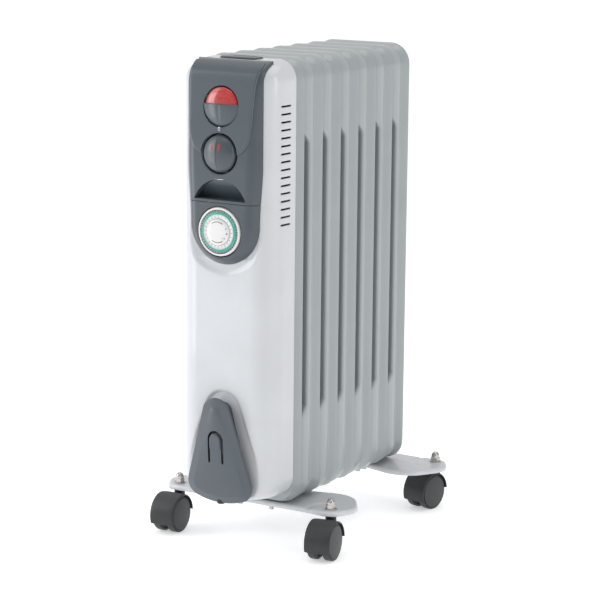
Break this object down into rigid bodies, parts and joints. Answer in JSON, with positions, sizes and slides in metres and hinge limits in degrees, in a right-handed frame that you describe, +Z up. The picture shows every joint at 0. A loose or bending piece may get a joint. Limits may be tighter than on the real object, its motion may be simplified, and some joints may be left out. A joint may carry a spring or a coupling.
{
  "type": "oil filled radiator heater",
  "caption": "Free-standing oil filled radiator with pressed fins, a control panel with knob and timer, and cross feet on twin-wheel casters.",
  "frame": {"origin": "centre of the bounding box in plan, on the floor under the caster wheels", "axes": "+Z up; -Y is the control panel side (front); X is the width across the fins, +X to the right seen from the front"},
  "size_m": [0.2638, 0.3876, 0.592],
  "materials": {
    "fin_enamel": "gloss grey-white enamel",
    "housing_enamel": "gloss grey-white enamel",
    "foot_enamel": "gloss grey-white enamel",
    "zinc_sheet": "zinc plated sheet",
    "zinc_steel": "zinc plated steel",
    "bright_nickel": "bright nickel plate",
    "panel_plastic": "slate grey semi-gloss plastic",
    "shield_plastic": "slate grey semi-gloss plastic",
    "cover_plastic": "slate grey satin plastic",
    "knob_plastic": "slate grey semi-gloss plastic",
    "lens_red": "translucent red plastic",
    "lamp_glass": "clear",
    "black_plastic": "matte",
    "white_plastic": "matte",
    "timer_white": "semi-gloss white plastic",
    "timer_print": "white plastic with a printed teal ring",
    "tappet_plastic": "pale grey plastic",
    "rubber_black": "matte",
    "element_copper": "drawn tube",
    "brass_flange": "turned",
    "wire_insulation": "insulated lead",
    "stem_black": "black sleeve",
    "caster_plastic": "black nylon",
    "wheel_plastic": "black nylon"
  },
  "bodies": {
    "radiator": {"fin_1": "fin_enamel", "fin_2": "fin_enamel", "fin_3": "fin_enamel", "fin_4": "fin_enamel", "fin_5": "fin_enamel", "fin_6": "fin_enamel", "fin_7": "fin_enamel", "control_housing": "housing_enamel", "housing_back_plate": "zinc_sheet", "back_plate_screws": "zinc_steel", "top_grip": "panel_plastic", "panel_upper": "panel_plastic", "panel_shield": "shield_plastic", "indicator_lens": "lens_red", "indicator_lamp": "lamp_glass", "panel_lower": "panel_plastic", "thermostat_switch": "black_plastic", "timer_body": "white_plastic", "timer_bezel": "timer_white", "timer_centre": "timer_white", "cable_cover": "cover_plastic", "cord_gland": "rubber_black", "heating_element": "element_copper", "element_flange": "brass_flange", "thermal_cutout": "black_plastic", "terminal_block": "white_plastic", "wiring": "wire_insulation", "foot_front": "foot_enamel", "foot_rear": "foot_enamel", "foot_clamps": "zinc_steel", "wing_nuts": "zinc_steel", "caster_stems": "stem_black", "cap_washers": "bright_nickel", "cap_nuts": "bright_nickel"},
    "knob": {"thermostat_knob": "knob_plastic", "knob_shaft": "zinc_steel"},
    "timer_wheel": {"timer_dial": "timer_print", "timer_tappets": "tappet_plastic"},
    "caster_fl": {"caster_fl_body": "caster_plastic", "caster_fl_axle": "zinc_steel"},
    "wheel_fl_a": {"caster_fl_wheel_a": "wheel_plastic"},
    "wheel_fl_b": {"caster_fl_wheel_b": "wheel_plastic"},
    "caster_fr": {"caster_fr_body": "caster_plastic", "caster_fr_axle": "zinc_steel"},
    "wheel_fr_a": {"caster_fr_wheel_a": "wheel_plastic"},
    "wheel_fr_b": {"caster_fr_wheel_b": "wheel_plastic"},
    "caster_rl": {"caster_rl_body": "caster_plastic", "caster_rl_axle": "zinc_steel"},
    "wheel_rl_a": {"caster_rl_wheel_a": "wheel_plastic"},
    "wheel_rl_b": {"caster_rl_wheel_b": "wheel_plastic"},
    "caster_rr": {"caster_rr_body": "caster_plastic", "caster_rr_axle": "zinc_steel"},
    "wheel_rr_a": {"caster_rr_wheel_a": "wheel_plastic"},
    "wheel_rr_b": {"caster_rr_wheel_b": "wheel_plastic"}
  },
  "joints": [
    {"name": "knob_turn", "type": "hinge", "parent": "radiator", "child": "knob", "pos_m": [0, -0.175, 0.4825], "axis": [0, -1, 0], "range_deg": [0, 240]},
    {"name": "timer_turn", "type": "hinge", "parent": "radiator", "child": "timer_wheel", "pos_m": [0, -0.18, 0.3915], "axis": [0, 1, 0], "continuous": true},
    {"name": "swivel_fl", "type": "hinge", "parent": "radiator", "child": "caster_fl", "pos_m": [-0.1088, -0.103, 0.045], "axis": [0, 0, 1], "continuous": true},
    {"name": "roll_fl_a", "type": "hinge", "parent": "caster_fl", "child": "wheel_fl_a", "pos_m": [-0.10752, -0.12276, 0.0225], "axis": [0.9979, 0.0645, 0], "continuous": true},
    {"name": "roll_fl_b", "type": "hinge", "parent": "caster_fl", "child": "wheel_fl_b", "pos_m": [-0.10752, -0.12276, 0.0225], "axis": [0.9979, 0.0645, 0], "continuous": true},
    {"name": "swivel_fr", "type": "hinge", "parent": "radiator", "child": "caster_fr", "pos_m": [0.1088, -0.103, 0.045], "axis": [0, 0, 1], "continuous": true},
    {"name": "roll_fr_a", "type": "hinge", "parent": "caster_fr", "child": "wheel_fr_a", "pos_m": [0.11166, -0.12259, 0.0225], "axis": [0.9895, 0.1444, 0], "continuous": true},
    {"name": "roll_fr_b", "type": "hinge", "parent": "caster_fr", "child": "wheel_fr_b", "pos_m": [0.11166, -0.12259, 0.0225], "axis": [0.9895, 0.1444, 0], "continuous": true},
    {"name": "swivel_rl", "type": "hinge", "parent": "radiator", "child": "caster_rl", "pos_m": [-0.1088, 0.161, 0.045], "axis": [0, 0, 1], "continuous": true},
    {"name": "roll_rl_a", "type": "hinge", "parent": "caster_rl", "child": "wheel_rl_a", "pos_m": [-0.10707, 0.14128, 0.0225], "axis": [0.9962, 0.0872, 0], "continuous": true},
    {"name": "roll_rl_b", "type": "hinge", "parent": "caster_rl", "child": "wheel_rl_b", "pos_m": [-0.10707, 0.14128, 0.0225], "axis": [0.9962, 0.0872, 0], "continuous": true},
    {"name": "swivel_rr", "type": "hinge", "parent": "radiator", "child": "caster_rr", "pos_m": [0.1088, 0.161, 0.045], "axis": [0, 0, 1], "continuous": true},
    {"name": "roll_rr_a", "type": "hinge", "parent": "caster_rr", "child": "wheel_rr_a", "pos_m": [0.1054, 0.1415, 0.0225], "axis": [0.9851, -0.1719, 0], "continuous": true},
    {"name": "roll_rr_b", "type": "hinge", "parent": "caster_rr", "child": "wheel_rr_b", "pos_m": [0.1054, 0.1415, 0.0225], "axis": [0.9851, -0.1719, 0], "continuous": true}
  ]
}
